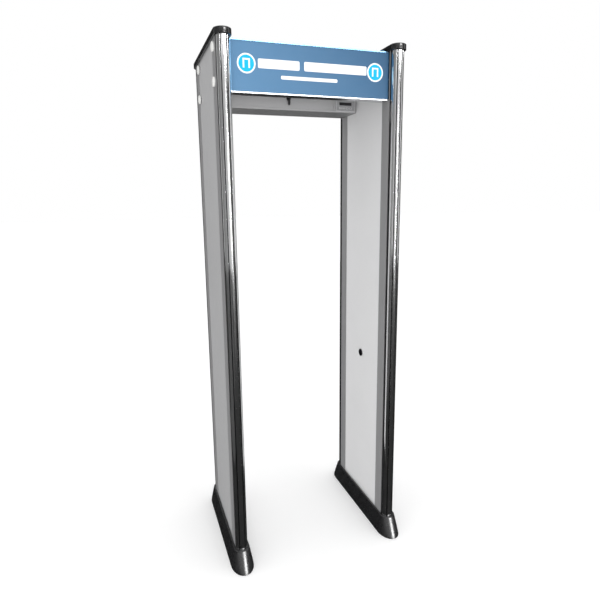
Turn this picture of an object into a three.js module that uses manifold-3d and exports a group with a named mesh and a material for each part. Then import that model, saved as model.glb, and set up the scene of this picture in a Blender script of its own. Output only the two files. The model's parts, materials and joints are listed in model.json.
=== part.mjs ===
// Walk-through metal detector gate: two sensing legs joined by a header with a sign,
// a main unit behind a hinged service door, and a small control unit with keys.
// Millimetres, +Z up, +Y away from the front, origin on the floor at the centre of the footprint.
import * as THREE from 'three';
import { mergeVertices } from 'three/addons/utils/BufferGeometryUtils.js';
import Module from 'manifold-3d';

const wasm = await Module();
wasm.setup();

// ---------------------------------------------------------------- driving dimensions
const GAP = 0.3; // between pieces that touch
const HEIGHT = 2200; // floor to the top of the caps
const LEG_THICKNESS = 52;
const LEG_OUTER_X = 385; // centre plane to a leg's outer face
const LEG_DEPTH = 570; // nose tip to nose tip
const FOOT_HEIGHT = 88;
const FOOT_FLOOR = 12; // solid floor under the socket
const CAP_HEIGHT = 23.5;
const CAP_SOCKET = 4;
const HEADER_TOP = 2175.5;
const SIGN_BOTTOM = 1986;
const UNIT_BOTTOM = 1985;
const UNIT_FRONT_Y = 85;
const UNIT_BACK_Y = 245;
const SHEET = 2; // folded sheet metal
const PROUD = 1; // how far a cutting or joining block runs past a face

const NOSE_RADIUS = LEG_THICKNESS / 2;
const LEG_X = LEG_OUTER_X - NOSE_RADIUS; // mid-plane of a leg
const INNER_X = LEG_OUTER_X - LEG_THICKNESS; // a leg's inner face
const NOSE_Y = LEG_DEPTH / 2 - NOSE_RADIUS; // centre of the nose arc
const CAP_BOTTOM = HEIGHT - CAP_HEIGHT;
const LEG_TOP = CAP_BOTTOM + CAP_SOCKET - GAP;
const LEG_BOTTOM = FOOT_FLOOR + GAP;

const POST_WALL = 2.6;
const GROOVE_ANGLE = THREE.MathUtils.degToRad(28); // two lengthwise grooves on each nose
const GROOVE_HALF_WIDTH = THREE.MathUtils.degToRad(3);
const GROOVE_DEPTH = 1.8;
const STRIP_WIDTH = 17; // dark joint strip between nose and channel
const STRIP_RECESS = 3;
const STRIP_WALL = 5;
const CHANNEL_DEPTH = 59;
const CHANNEL_WEB = 3;
const CHANNEL_FLANGE = 2;
const BOARD = 6; // side panel board
const CHANNEL_Y = NOSE_Y - STRIP_WIDTH; // distance of the channel's web from the middle
const BOARD_HALF_DEPTH = CHANNEL_Y - CHANNEL_WEB - GAP;
const BOARD_OUTSIDE = NOSE_RADIUS - CHANNEL_FLANGE - GAP;
const BOARD_INSIDE = BOARD_OUTSIDE - BOARD;

const BOLT_ROWS = [2148, 2025];
const BOLT_FRONT_Y = -212.5;
const BOLT_REAR_Y = 158;
const BOLT_RADIUS = 4;
const KNOB_RADIUS = 18;
const KNOB_HEIGHT = 8;
const BOLT_REACH = 10; // bolt tip past the leg's inner face

const SENSOR_Z = 830;
const SENSOR_RADIUS = 18;
const SENSOR_BARREL = 13.5;
const SENSOR_PROUD = 2;
const SENSOR_LENGTH = 24;
const TURNED_SEGMENTS = 16; // the same on a turned piece and on a large hole that it fits

const SIGN_FRONT_Y = -242;
const SIGN_DEPTH = 50;
const SIGN_LIP = 5;
const SIGN_END_WALL = 4;
const HEADER_HALF = INNER_X - GAP;

const DOOR_BOTTOM = 1995;
const DOOR_TOP = 2167;
const DOOR_LEFT = -326;
const DOOR_RIGHT = 219.5;
const HINGE_Y = 81.7;
const HINGE_Z = 2167.5;
const HINGE_PIN_RADIUS = 1.5;
const HINGE_BORE_RADIUS = 1.8;
const HINGE_BARREL_RADIUS = 3;
const HINGE_STRETCHES = 5;
const HINGE_TAB = 1;
const LATCH_Z = 2036;
const LATCH_BOSS_RADIUS = 10;
const LATCH_BOSS_FRONT_Y = 78;
const LATCH_SHAFT_END_Y = 94;
const CAM_NEAR_Y = 89.5;

const UNIT_END_WALL = 3.5;
const PARTITION = [225, 227]; // wall between the electronics and the control unit
const CABLE_HOLE = { radius: 9, y: 200, z: 2060 };

const CONTROL_LEFT = 229;
const CONTROL_RIGHT = 329;
const CONTROL_BOTTOM = 1990;
const CONTROL_TOP = 2110;
const CONTROL_FRONT_Y = 78;
const BEZEL_WIDTH = 5;
const FACEPLATE_FRONT_Y = 80.5;
const FACEPLATE_BACK_Y = 83.5;
const DISPLAY = { left: 248, right: 310, bottom: 2017, top: 2031 };
const ALARM = { left: 248, right: 310, bottom: 2050, top: 2060 };
const KEY_Z = 2005;
const KEY_WIDTH = 13;
const KEY_HEIGHT = 9;
const KEY_PITCH = 17;
const KEY_PROUD = 1.2; // also its travel
const KEY_STEM_GAP = 3;
const KEY_NAMES = ['menu_key', 'down_key', 'up_key', 'enter_key'];
const FIRST_KEY_X = (CONTROL_LEFT + CONTROL_RIGHT) / 2 - KEY_PITCH * (KEY_NAMES.length - 1) / 2;
const CONTROL_BOARD_Y = 96;
const BOARD_SHEET = 1.6; // circuit board

const WALL_Y = UNIT_BACK_Y - SHEET - GAP; // inside of the rear wall
const MAIN_BOARD = { left: -50, right: 180, bottom: 2020, top: 2135, standOff: 8 };
const SUPPLY = { left: -200, right: -80, bottom: 2020, top: 2118, depth: 42 };
const SIREN = { x: 204, z: 2120, radius: 19, neck: 12, depth: 34 };
const INLET_X = -285;
const INLET_BODY = { halfX: 14, halfZ: 10 };
const SWITCH_X = -237;
const SWITCH_BODY = { halfX: 10, halfZ: 15 };
const FITTING_DEPTH = 22; // both rear fittings, inside the wall
const REAR_FITTING_Z = 2040;
const ROCKER_TILT = THREE.MathUtils.degToRad(10);

// ---------------------------------------------------------------- materials
function finish(name, color, roughness, metalness) {
  return new THREE.MeshStandardMaterial({ name, color, roughness, metalness });
}
const polishedMetal = () => finish('polished_metal', 0xd8dadc, 0.12, 1);
const blackStrip = () => finish('black_strip', 0x111113, 0.5, 0);
const channelGrey = () => finish('channel_grey', 0x7c7d80, 0.4, 0.6);
const panelGrey = () => finish('panel_grey', 0xc9cacc, 0.55, 0);
const capBlack = () => finish('cap_black', 0x1c1c1e, 0.25, 0);
const footBlack = () => finish('foot_black', 0x1d1d1f, 0.45, 0);
const knobWhite = () => finish('knob_white', 0xf2f2f0, 0.35, 0);
const coilCopper = () => finish('coil_copper', 0x9a5a34, 0.4, 0.8);
const lensBlack = () => finish('lens_black', 0x08080a, 0.1, 0);
const signBlue = () => finish('sign_blue', 0x5f88b0, 0.4, 0);
const trimMetal = () => finish('trim_metal', 0xd4d7db, 0.25, 1);
const headerGrey = () => finish('header_grey', 0x98999b, 0.45, 0.3);
const darkSteel = () => finish('dark_steel', 0x5c5e62, 0.35, 1);
const latchBlack = () => finish('latch_black', 0x0c0c0d, 0.4, 0);
const bezelGrey = () => finish('bezel_grey', 0xbfc1c4, 0.4, 0.2);
const faceGrey = () => finish('face_grey', 0xa6a8ab, 0.5, 0);
const keyGrey = () => finish('key_grey', 0xd2d3d5, 0.6, 0);
const alarmRed = () => finish('alarm_red', 0xa01818, 0.2, 0);
const boardGreen = () => finish('board_green', 0x1f5a35, 0.5, 0);

// ---------------------------------------------------------------- solids
function toSolid(geometry) {
  const bare = geometry.index ? geometry.clone() : mergeVertices(geometry.clone());
  bare.deleteAttribute('normal');
  bare.deleteAttribute('uv');
  const merged = mergeVertices(bare, 1e-4);
  const corners = Array.from(merged.index.array);
  const triangles = [];
  for (let i = 0; i < corners.length; i += 3) {
    const [a, b, c] = corners.slice(i, i + 3);
    if (a !== b && b !== c && c !== a) triangles.push(a, b, c);
  }
  return new wasm.Manifold(new wasm.Mesh({
    numProp: 3,
    vertProperties: new Float32Array(merged.attributes.position.array),
    triVerts: new Uint32Array(triangles),
  }));
}

function toGeometry(solid) {
  const mesh = solid.getMesh();
  const geometry = new THREE.BufferGeometry();
  geometry.setAttribute('position', new THREE.BufferAttribute(new Float32Array(mesh.vertProperties), 3));
  geometry.setIndex(new THREE.BufferAttribute(new Uint32Array(mesh.triVerts), 1));
  geometry.computeVertexNormals();
  return geometry;
}

// One solid from a first geometry, others joined to it, and others cut from it.
function carve(base, { join = [], cut = [] }) {
  let solid = toSolid(base);
  for (const piece of join) solid = solid.add(toSolid(piece));
  for (const piece of cut) solid = solid.subtract(toSolid(piece));
  return toGeometry(solid);
}

// A box given by its lowest and highest corner.
function block(low, high) {
  const size = high.map((value, i) => value - low[i]);
  const middle = high.map((value, i) => (value + low[i]) / 2);
  return new THREE.BoxGeometry(...size).translate(...middle);
}

// A round bar along X or Y between two positions on that axis.
function barX(radius, fromX, toX, y, z, segments = 12) {
  const bar = new THREE.CylinderGeometry(radius, radius, toX - fromX, segments);
  return bar.rotateZ(Math.PI / 2).translate((fromX + toX) / 2, y, z);
}

function barY(radius, fromY, toY, x, z, segments = 16) {
  const bar = new THREE.CylinderGeometry(radius, radius, toY - fromY, segments);
  return bar.translate(x, (fromY + toY) / 2, z);
}

function prism(shape, fromZ, toZ, curveSegments = 12, steps = 1) {
  const options = { depth: toZ - fromZ, bevelEnabled: false, curveSegments, steps };
  return new THREE.ExtrudeGeometry(shape, options).translate(0, 0, fromZ);
}

function rectangle(halfX, halfY, centreX = 0, centreY = 0) {
  const outline = new THREE.Shape();
  outline.moveTo(centreX - halfX, centreY - halfY);
  outline.lineTo(centreX + halfX, centreY - halfY);
  outline.lineTo(centreX + halfX, centreY + halfY);
  outline.lineTo(centreX - halfX, centreY + halfY);
  outline.closePath();
  return outline;
}

// The plan of a leg: straight sides and a round end front and rear.
function obround(radius, centreY) {
  const outline = new THREE.Shape();
  outline.absarc(0, centreY, radius, 0, Math.PI, false);
  outline.absarc(0, -centreY, radius, Math.PI, 2 * Math.PI, false);
  outline.closePath();
  return outline;
}

// ---------------------------------------------------------------- leg pieces
// Front profiles are drawn with the nose towards -Y; the rear ones are the same, turned half round.
function postGeometry() {
  const outline = new THREE.Shape();
  outline.moveTo(-NOSE_RADIUS, 0);
  let from = Math.PI;
  for (const groove of [-GROOVE_ANGLE, GROOVE_ANGLE]) {
    const middle = 1.5 * Math.PI + groove;
    const low = NOSE_RADIUS - GROOVE_DEPTH;
    outline.absarc(0, 0, NOSE_RADIUS, from, middle - GROOVE_HALF_WIDTH, false);
    outline.lineTo(low * Math.cos(middle - GROOVE_HALF_WIDTH), low * Math.sin(middle - GROOVE_HALF_WIDTH));
    outline.lineTo(low * Math.cos(middle + GROOVE_HALF_WIDTH), low * Math.sin(middle + GROOVE_HALF_WIDTH));
    from = middle + GROOVE_HALF_WIDTH;
  }
  outline.absarc(0, 0, NOSE_RADIUS, from, 2 * Math.PI, false);
  outline.closePath();
  const bore = new THREE.Path();
  const boreRadius = NOSE_RADIUS - GROOVE_DEPTH - POST_WALL;
  bore.absarc(0, -POST_WALL, boreRadius, 0, Math.PI, true);
  bore.closePath();
  outline.holes.push(bore);
  return prism(outline, LEG_BOTTOM, LEG_TOP, 6);
}

function stripGeometry() {
  const halfX = NOSE_RADIUS - STRIP_RECESS;
  const halfY = STRIP_WIDTH / 2 - GAP;
  const outline = rectangle(halfX, halfY);
  outline.holes.push(rectangle(halfX - STRIP_WALL, halfY - STRIP_WALL));
  return prism(outline, LEG_BOTTOM, LEG_TOP);
}

function channelGeometry(hasBolts) {
  const halfX = NOSE_RADIUS;
  const outline = new THREE.Shape();
  outline.moveTo(-halfX, 0);
  outline.lineTo(halfX, 0);
  outline.lineTo(halfX, CHANNEL_DEPTH);
  outline.lineTo(halfX - CHANNEL_FLANGE, CHANNEL_DEPTH);
  outline.lineTo(halfX - CHANNEL_FLANGE, CHANNEL_WEB);
  outline.lineTo(CHANNEL_FLANGE - halfX, CHANNEL_WEB);
  outline.lineTo(CHANNEL_FLANGE - halfX, CHANNEL_DEPTH);
  outline.lineTo(-halfX, CHANNEL_DEPTH);
  outline.closePath();
  const channel = prism(outline, LEG_BOTTOM, LEG_TOP);
  if (!hasBolts) return channel;
  const holeY = CHANNEL_Y + BOLT_FRONT_Y;
  const [from, to] = [-halfX - PROUD, halfX + PROUD];
  const holes = BOLT_ROWS.map((z) => barX(BOLT_RADIUS + GAP, from, to, holeY, z));
  return carve(channel, { cut: holes });
}

// side is +1 for a board on the +X side of its leg, -1 for the other
function boardGeometry(side, hasSensor) {
  const low = side > 0 ? BOARD_INSIDE : -BOARD_OUTSIDE;
  const high = low + BOARD;
  const board = block([low, -BOARD_HALF_DEPTH, LEG_BOTTOM], [high, BOARD_HALF_DEPTH, LEG_TOP]);
  const hole = (radius, y, z, segments) => barX(radius + GAP, low - PROUD, high + PROUD, y, z, segments);
  const cut = [];
  for (const z of BOLT_ROWS) {
    for (const y of [BOLT_FRONT_Y, BOLT_REAR_Y]) cut.push(hole(BOLT_RADIUS, y, z));
  }
  if (hasSensor) cut.push(hole(SENSOR_BARREL, 0, SENSOR_Z, TURNED_SEGMENTS));
  return carve(board, { cut });
}

function capGeometry() {
  const overhang = 8;
  const bevel = 2.5;
  const plan = obround(NOSE_RADIUS + overhang - bevel, NOSE_Y);
  const options = {
    depth: CAP_HEIGHT - bevel, bevelEnabled: true, bevelThickness: bevel, bevelSize: bevel,
    bevelSegments: 2, curveSegments: 12,
  };
  const rounded = new THREE.ExtrudeGeometry(plan, options).translate(0, 0, CAP_BOTTOM);
  const under = block([-LEG_DEPTH, -LEG_DEPTH, CAP_BOTTOM - HEIGHT], [LEG_DEPTH, LEG_DEPTH, CAP_BOTTOM]);
  const socket = prism(obround(NOSE_RADIUS + GAP, NOSE_Y), CAP_BOTTOM - PROUD, CAP_BOTTOM + CAP_SOCKET, 8);
  return carve(rounded, { cut: [under, socket] });
}

// A shoe that flares towards the floor, with a socket for the whole leg.
function footGeometry() {
  const rim = { side: 9, end: 12 };
  const flare = { side: 15, end: 40 };
  const shoe = prism(obround(NOSE_RADIUS, NOSE_Y), 0, FOOT_HEIGHT, 12, 5);
  const places = shoe.attributes.position;
  for (let i = 0; i < places.count; i += 1) {
    const [x, y, z] = [places.getX(i), places.getY(i), places.getZ(i)];
    const spineY = THREE.MathUtils.clamp(y, -NOSE_Y, NOSE_Y);
    const [outX, outY] = [x / NOSE_RADIUS, (y - spineY) / NOSE_RADIUS];
    const fall = 1 - (z / FOOT_HEIGHT) ** 1.1;
    const side = rim.side + flare.side * fall;
    const end = rim.end + flare.end * fall;
    places.setXY(i, x + outX * side, y + outY * end);
  }
  const socket = prism(obround(NOSE_RADIUS + GAP, NOSE_Y), FOOT_FLOOR, FOOT_HEIGHT + PROUD, 8);
  return carve(shoe, { cut: [socket] });
}

// A ladder of flat wound loops between the two boards.
function coilGeometry() {
  const halfWidth = 205;
  const [bottom, top] = [70, 1930];
  const bar = 16;
  const loops = 4;
  const depth = 14;
  const middle = (bottom + top) / 2;
  const pitch = (top - bottom - bar) / loops;
  const outline = rectangle(halfWidth, (top - bottom) / 2, 0, middle);
  for (let i = 0; i < loops; i += 1) {
    const centre = bottom + bar / 2 + pitch * (i + 0.5);
    outline.holes.push(rectangle(halfWidth - bar, (pitch - bar) / 2, 0, centre));
  }
  const flat = new THREE.ExtrudeGeometry(outline, { depth, bevelEnabled: false });
  return flat.rotateX(Math.PI / 2).rotateZ(Math.PI / 2).translate(-depth / 2, 0, 0);
}

// Turned pieces are drawn along +Y and laid along X by the caller.
function turned(points) {
  return new THREE.LatheGeometry(points.map(([r, h]) => new THREE.Vector2(r, h)), TURNED_SEGMENTS);
}

function boltGeometry() {
  const shank = LEG_THICKNESS + BOLT_REACH;
  const edge = 2.5;
  return turned([
    [0, -shank], [BOLT_RADIUS, -shank], [BOLT_RADIUS, GAP], [KNOB_RADIUS, GAP],
    [KNOB_RADIUS, KNOB_HEIGHT - edge], [KNOB_RADIUS - edge, KNOB_HEIGHT], [0, KNOB_HEIGHT],
  ]);
}

function sensorGeometry() {
  const bottom = -SENSOR_LENGTH;
  const seat = -CHANNEL_FLANGE; // the underside of the rim, just clear of the board
  const edge = 1;
  return turned([
    [0, bottom], [SENSOR_BARREL, bottom], [SENSOR_BARREL, seat], [SENSOR_RADIUS, seat],
    [SENSOR_RADIUS, SENSOR_PROUD - edge], [SENSOR_RADIUS - edge, SENSOR_PROUD], [0, SENSOR_PROUD],
  ]);
}

// ---------------------------------------------------------------- header pieces
function signFrameGeometry() {
  const [low, high] = [SIGN_FRONT_Y, SIGN_FRONT_Y + SIGN_DEPTH];
  const outer = block([-HEADER_HALF, low, SIGN_BOTTOM], [HEADER_HALF, high, HEADER_TOP]);
  const inside = HEADER_HALF - SIGN_END_WALL;
  const hollow = block([-inside, low + SHEET, SIGN_BOTTOM + SHEET],
    [inside, high + PROUD, HEADER_TOP - SHEET]);
  const view = HEADER_HALF - SIGN_LIP;
  const window = block([-view, low - PROUD, SIGN_BOTTOM + SIGN_LIP], [view, high, HEADER_TOP - SIGN_LIP]);
  return carve(outer, { cut: [hollow, window, ...boltHoles(BOLT_FRONT_Y)] });
}

function boltHoles(y) {
  return BOLT_ROWS.map((z) => barX(BOLT_RADIUS + GAP, -LEG_OUTER_X, LEG_OUTER_X, y, z));
}

// A sheet that fills the inside of the sign's frame.
function signSheet(fromY, thickness) {
  const halfX = HEADER_HALF - SIGN_END_WALL - GAP;
  const low = [-halfX, fromY, SIGN_BOTTOM + SHEET + GAP];
  const high = [halfX, fromY + thickness, HEADER_TOP - SHEET - GAP];
  return block(low, high);
}

function topCoverGeometry() {
  const front = SIGN_FRONT_Y + SIGN_DEPTH + GAP;
  const back = UNIT_FRONT_Y - GAP;
  const drop = 20;
  const inside = HEADER_HALF - SHEET;
  const sheet = block([-HEADER_HALF, front, HEADER_TOP - drop], [HEADER_HALF, back, HEADER_TOP]);
  const under = block([-inside, front + SHEET, HEADER_TOP - drop - PROUD],
    [inside, back + PROUD, HEADER_TOP - SHEET]);
  return carve(sheet, { cut: [under] });
}

// Hinge barrels with their tabs and bores. The front frame carries the even stretches, the door the odd.
function hingeKnuckles(parity, tabZ) {
  const step = (DOOR_RIGHT - DOOR_LEFT) / HINGE_STRETCHES;
  const join = [];
  const cut = [];
  for (let i = parity; i < HINGE_STRETCHES; i += 2) {
    const from = DOOR_LEFT + i * step + GAP;
    const to = DOOR_LEFT + (i + 1) * step - GAP;
    join.push(barX(HINGE_BARREL_RADIUS, from, to, HINGE_Y, HINGE_Z));
    join.push(block([from, HINGE_Y, tabZ], [to, UNIT_FRONT_Y + PROUD, tabZ + HINGE_TAB]));
    cut.push(barX(HINGE_BORE_RADIUS, from - PROUD, to + PROUD, HINGE_Y, HINGE_Z));
  }
  return { join, cut };
}

// A tray open to the front, with a partition beside the control unit.
function unitHousingGeometry() {
  const [front, back] = [UNIT_FRONT_Y + SHEET + GAP, UNIT_BACK_Y];
  const inside = HEADER_HALF - UNIT_END_WALL;
  const [bottom, top] = [UNIT_BOTTOM + SHEET, HEADER_TOP - SHEET];
  const bay = (fromX, toX) => block([fromX, front - PROUD, bottom], [toX, back - SHEET, top]);
  const rearHole = (x, { halfX, halfZ }) => block(
    [x - halfX - GAP, back - SHEET - PROUD, REAR_FITTING_Z - halfZ - GAP],
    [x + halfX + GAP, back + PROUD, REAR_FITTING_Z + halfZ + GAP]);
  const [wallLeft, wallRight] = PARTITION;
  const cables = barX(CABLE_HOLE.radius, wallLeft - PROUD, wallRight + PROUD, CABLE_HOLE.y, CABLE_HOLE.z);
  return carve(block([-HEADER_HALF, front, UNIT_BOTTOM], [HEADER_HALF, back, HEADER_TOP]), {
    cut: [
      bay(-inside, wallLeft), bay(wallRight, inside), cables,
      rearHole(INLET_X, INLET_BODY), rearHole(SWITCH_X, SWITCH_BODY), ...boltHoles(BOLT_REAR_Y),
    ],
  });
}

// The face of the main unit: a plate round the service door and the control unit.
function frontFrameGeometry() {
  const [front, back] = [UNIT_FRONT_Y, UNIT_FRONT_Y + SHEET];
  const mouth = (fromX, toX, fromZ, toZ) => block([fromX, front - PROUD, fromZ], [toX, back + PROUD, toZ]);
  const clear = 1;
  const margin = 6;
  const doorMouth = mouth(DOOR_LEFT - clear, DOOR_RIGHT + clear, DOOR_BOTTOM - clear, DOOR_TOP + clear);
  const controlMouth = mouth(CONTROL_LEFT + margin, CONTROL_RIGHT - margin,
    CONTROL_BOTTOM + margin, CONTROL_TOP - margin);
  const { join, cut } = hingeKnuckles(0, HINGE_Z + HINGE_BARREL_RADIUS - HINGE_TAB - 0.1);
  return carve(block([-HEADER_HALF, front, UNIT_BOTTOM], [HEADER_HALF, back, HEADER_TOP]), {
    join,
    cut: [doorMouth, controlMouth, ...cut],
  });
}

function serviceDoorGeometry() {
  const [front, back] = [UNIT_FRONT_Y, UNIT_FRONT_Y + SHEET];
  const returnDepth = 8;
  const [returnBottom, returnTop] = [DOOR_BOTTOM + 2, DOOR_TOP - 12];
  const returns = [DOOR_LEFT, DOOR_RIGHT - SHEET].map(
    (x) => block([x, front, returnBottom], [x + SHEET, front + returnDepth, returnTop]));
  const { join, cut } = hingeKnuckles(1, HINGE_Z - HINGE_BARREL_RADIUS + 0.1);
  const shaftHole = barY(BOLT_RADIUS + GAP, front - PROUD, back + PROUD, 0, LATCH_Z);
  return carve(block([DOOR_LEFT, front, DOOR_BOTTOM], [DOOR_RIGHT, back, DOOR_TOP]), {
    join: [...returns, ...join],
    cut: [...cut, shaftHole],
  });
}

// A quarter-turn latch: round boss, lever hanging down, and a shaft through the door.
function latchGeometry() {
  const face = UNIT_FRONT_Y - GAP;
  const lever = { halfWidth: 4.3, front: 70, back: 79.5, above: 6, below: 30 };
  const boss = barY(LATCH_BOSS_RADIUS, LATCH_BOSS_FRONT_Y, face, 0, LATCH_Z);
  const handle = block([-lever.halfWidth, lever.front, LATCH_Z - lever.below],
    [lever.halfWidth, lever.back, LATCH_Z + lever.above]);
  return carve(boss, { join: [handle, barY(BOLT_RADIUS, face - PROUD, LATCH_SHAFT_END_Y, 0, LATCH_Z)] });
}

function camGeometry() {
  const far = CAM_NEAR_Y + 2.5;
  const [root, reach, halfWidth] = [9, 47, 8];
  const plate = block([-root, CAM_NEAR_Y, LATCH_Z - halfWidth], [reach, far, LATCH_Z + halfWidth]);
  return carve(plate, { cut: [barY(BOLT_RADIUS + GAP, CAM_NEAR_Y - PROUD, far + PROUD, 0, LATCH_Z)] });
}

function bezelGeometry() {
  const [front, back] = [CONTROL_FRONT_Y, UNIT_FRONT_Y - GAP];
  const outer = block([CONTROL_LEFT, front, CONTROL_BOTTOM], [CONTROL_RIGHT, back, CONTROL_TOP]);
  const view = block(
    [CONTROL_LEFT + BEZEL_WIDTH, front - PROUD, CONTROL_BOTTOM + BEZEL_WIDTH],
    [CONTROL_RIGHT - BEZEL_WIDTH, back + PROUD, CONTROL_TOP - BEZEL_WIDTH]);
  return carve(outer, { cut: [view] });
}

const keyPlaces = KEY_NAMES.map((name, i) => ({ name, x: FIRST_KEY_X + i * KEY_PITCH }));

function faceplateGeometry() {
  const inset = BEZEL_WIDTH + GAP;
  const [front, back] = [FACEPLATE_FRONT_Y, FACEPLATE_BACK_Y];
  const plate = block([CONTROL_LEFT + inset, front, CONTROL_BOTTOM + inset],
    [CONTROL_RIGHT - inset, back, CONTROL_TOP - inset]);
  const windows = [DISPLAY, ALARM].map(
    (w) => block([w.left, front - PROUD, w.bottom], [w.right, back + PROUD, w.top]));
  const keyHoles = keyPlaces.map(({ x }) => block(
    [x - KEY_WIDTH / 2, front - PROUD, KEY_Z - KEY_HEIGHT / 2],
    [x + KEY_WIDTH / 2, back + PROUD, KEY_Z + KEY_HEIGHT / 2]));
  return carve(plate, { cut: [...windows, ...keyHoles] });
}

// A window pane with a lip behind the faceplate.
function paneGeometry({ left, right, bottom, top }) {
  const [front, back] = [FACEPLATE_FRONT_Y + 0.4, FACEPLATE_BACK_Y];
  const lip = 2;
  const lipThickness = 1.5;
  const pane = block([left + GAP, front, bottom + GAP], [right - GAP, back + PROUD, top - GAP]);
  const rim = block([left - lip, back + GAP, bottom - lip],
    [right + lip, back + GAP + lipThickness, top + lip]);
  return carve(pane, { join: [rim] });
}

// A key cap with a retaining flange behind the faceplate and a stem towards its switch.
function keyGeometry(x) {
  const [front, back] = [FACEPLATE_FRONT_Y - KEY_PROUD, FACEPLATE_BACK_Y];
  const [halfX, halfZ] = [KEY_WIDTH / 2 - GAP, KEY_HEIGHT / 2 - GAP];
  const slab = (grow, fromY, toY) => block(
    [x - halfX - grow, fromY, KEY_Z - halfZ - grow], [x + halfX + grow, toY, KEY_Z + halfZ + grow]);
  const flange = slab(1, back + GAP, back + GAP + 1);
  const stem = barY(2, back + 1, CONTROL_BOARD_Y - KEY_STEM_GAP, x, KEY_Z, 12);
  return carve(slab(0, front, back + PROUD), { join: [flange, stem] });
}

function controlBoardGeometry() {
  const margin = 8;
  const [left, right] = [CONTROL_LEFT + margin, CONTROL_RIGHT - margin];
  const [bottom, top] = [CONTROL_BOTTOM + margin, CONTROL_TOP - margin];
  const joint = CONTROL_BOARD_Y + 0.5;
  const module = (w) => block([w.left, CONTROL_BOARD_Y - 8, w.bottom], [w.right, joint, w.top]);
  const half = 3;
  const switches = keyPlaces.map(({ x }) => block(
    [x - half, CONTROL_BOARD_Y - 1.4, KEY_Z - half], [x + half, joint, KEY_Z + half]));
  const inset = 4;
  const posts = [];
  for (const x of [left + inset, right - inset]) {
    for (const z of [bottom + inset, top - inset]) {
      posts.push(barY(2.5, FACEPLATE_BACK_Y + GAP, joint, x, z, 10));
    }
  }
  return carve(block([left, CONTROL_BOARD_Y, bottom], [right, CONTROL_BOARD_Y + BOARD_SHEET, top]), {
    join: [module(DISPLAY), module(ALARM), ...switches, ...posts],
  });
}

// The detector's board on four stand-offs, with its largest components.
function mainBoardGeometry() {
  const { left, right, bottom, top, standOff } = MAIN_BOARD;
  const back = WALL_Y - standOff;
  const board = block([left, back - BOARD_SHEET, bottom], [right, back, top]);
  const inset = 8;
  const posts = [];
  for (const x of [left + inset, right - inset]) {
    for (const z of [bottom + inset, top - inset]) posts.push(barY(3.5, back - 1, WALL_Y, x, z, 10));
  }
  const component = (x, z, width, height, depth) => block(
    [left + x, back - depth, bottom + z], [left + x + width, back - 1, bottom + z + height]);
  const components = [
    component(20, 75, 50, 30, 22),
    component(90, 45, 35, 35, 8),
    component(150, 10, 65, 12, 16),
    component(15, 10, 80, 15, 12),
  ];
  const capacitor = barY(9, back - 26, back - 1, right - 50, top - 35);
  return carve(board, { join: [...posts, ...components, capacitor] });
}

function powerSupplyGeometry() {
  const { left, right, bottom, top, depth } = SUPPLY;
  const can = block([left, WALL_Y - depth, bottom], [right, WALL_Y, top]);
  const terminals = block([left + 6, WALL_Y - 30, bottom - 16], [left + 80, WALL_Y - 12, bottom + 4]);
  return carve(can, { join: [terminals] });
}

function sirenGeometry() {
  const { x, z, radius, neck, depth } = SIREN;
  return carve(barY(neck, WALL_Y - neck, WALL_Y, x, z, 20), {
    join: [barY(radius, WALL_Y - depth, WALL_Y - neck + 1, x, z, 24)],
  });
}

// An appliance inlet in the rear wall: flange outside, body inside, and a socket for a plug.
function inletGeometry() {
  const back = UNIT_BACK_Y;
  const { halfX, halfZ } = INLET_BODY;
  const wall = 2.5;
  const at = (dx, y, dz) => [INLET_X + dx, y, REAR_FITTING_Z + dz];
  const flange = block(at(-24, back + GAP, -15), at(24, back + 2.5, 15));
  const body = block(at(-halfX, back - FITTING_DEPTH, -halfZ), at(halfX, back + PROUD, halfZ));
  const socket = block(at(wall - halfX, back - FITTING_DEPTH + 5, wall - halfZ),
    at(halfX - wall, back + 5, halfZ - wall));
  const pinRoot = back - FITTING_DEPTH + 4;
  const pins = [-7, 0, 7].map((dx) => block(at(dx - 1, pinRoot, -3), at(dx + 1, back - 2, 2)));
  const hollow = toSolid(flange).add(toSolid(body)).subtract(toSolid(socket));
  return toGeometry(pins.reduce((solid, pin) => solid.add(toSolid(pin)), hollow));
}

function switchFrameGeometry() {
  const back = UNIT_BACK_Y;
  const { halfX, halfZ } = SWITCH_BODY;
  const wall = 2;
  const at = (dx, y, dz) => [SWITCH_X + dx, y, REAR_FITTING_Z + dz];
  const flange = block(at(-13, back + GAP, -18), at(13, back + 2, 18));
  const body = block(at(-halfX, back - FITTING_DEPTH, -halfZ), at(halfX, back + PROUD, halfZ));
  const pocket = block(at(wall - halfX, back - 12, wall - halfZ), at(halfX - wall, back + 5, halfZ - wall));
  return carve(flange, { join: [body], cut: [pocket] });
}

// A rocker that lies with one end pressed in; its axis runs along X through the group's origin.
function rockerGeometry() {
  const [halfLength, halfFoot, endHeight, midHeight, depth] = [12.2, 4, 4.5, 2.6, 4];
  const outline = new THREE.Shape();
  outline.moveTo(-halfLength, endHeight);
  outline.lineTo(0, midHeight);
  outline.lineTo(halfLength, endHeight);
  outline.lineTo(halfLength - 0.6, 0);
  outline.lineTo(halfFoot, -depth);
  outline.lineTo(-halfFoot, -depth);
  outline.lineTo(0.6 - halfLength, 0);
  outline.closePath();
  const width = 15;
  const rocker = new THREE.ExtrudeGeometry(outline, { depth: width, bevelEnabled: false });
  return rocker.translate(0, 0, -width / 2).rotateY(Math.PI / 2);
}

// ---------------------------------------------------------------- assembly
const gate = new THREE.Group();

function piece(name, geometry, material, parent = gate) {
  const mesh = new THREE.Mesh(geometry, material);
  mesh.name = name;
  parent.add(mesh);
  return mesh;
}

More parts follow.
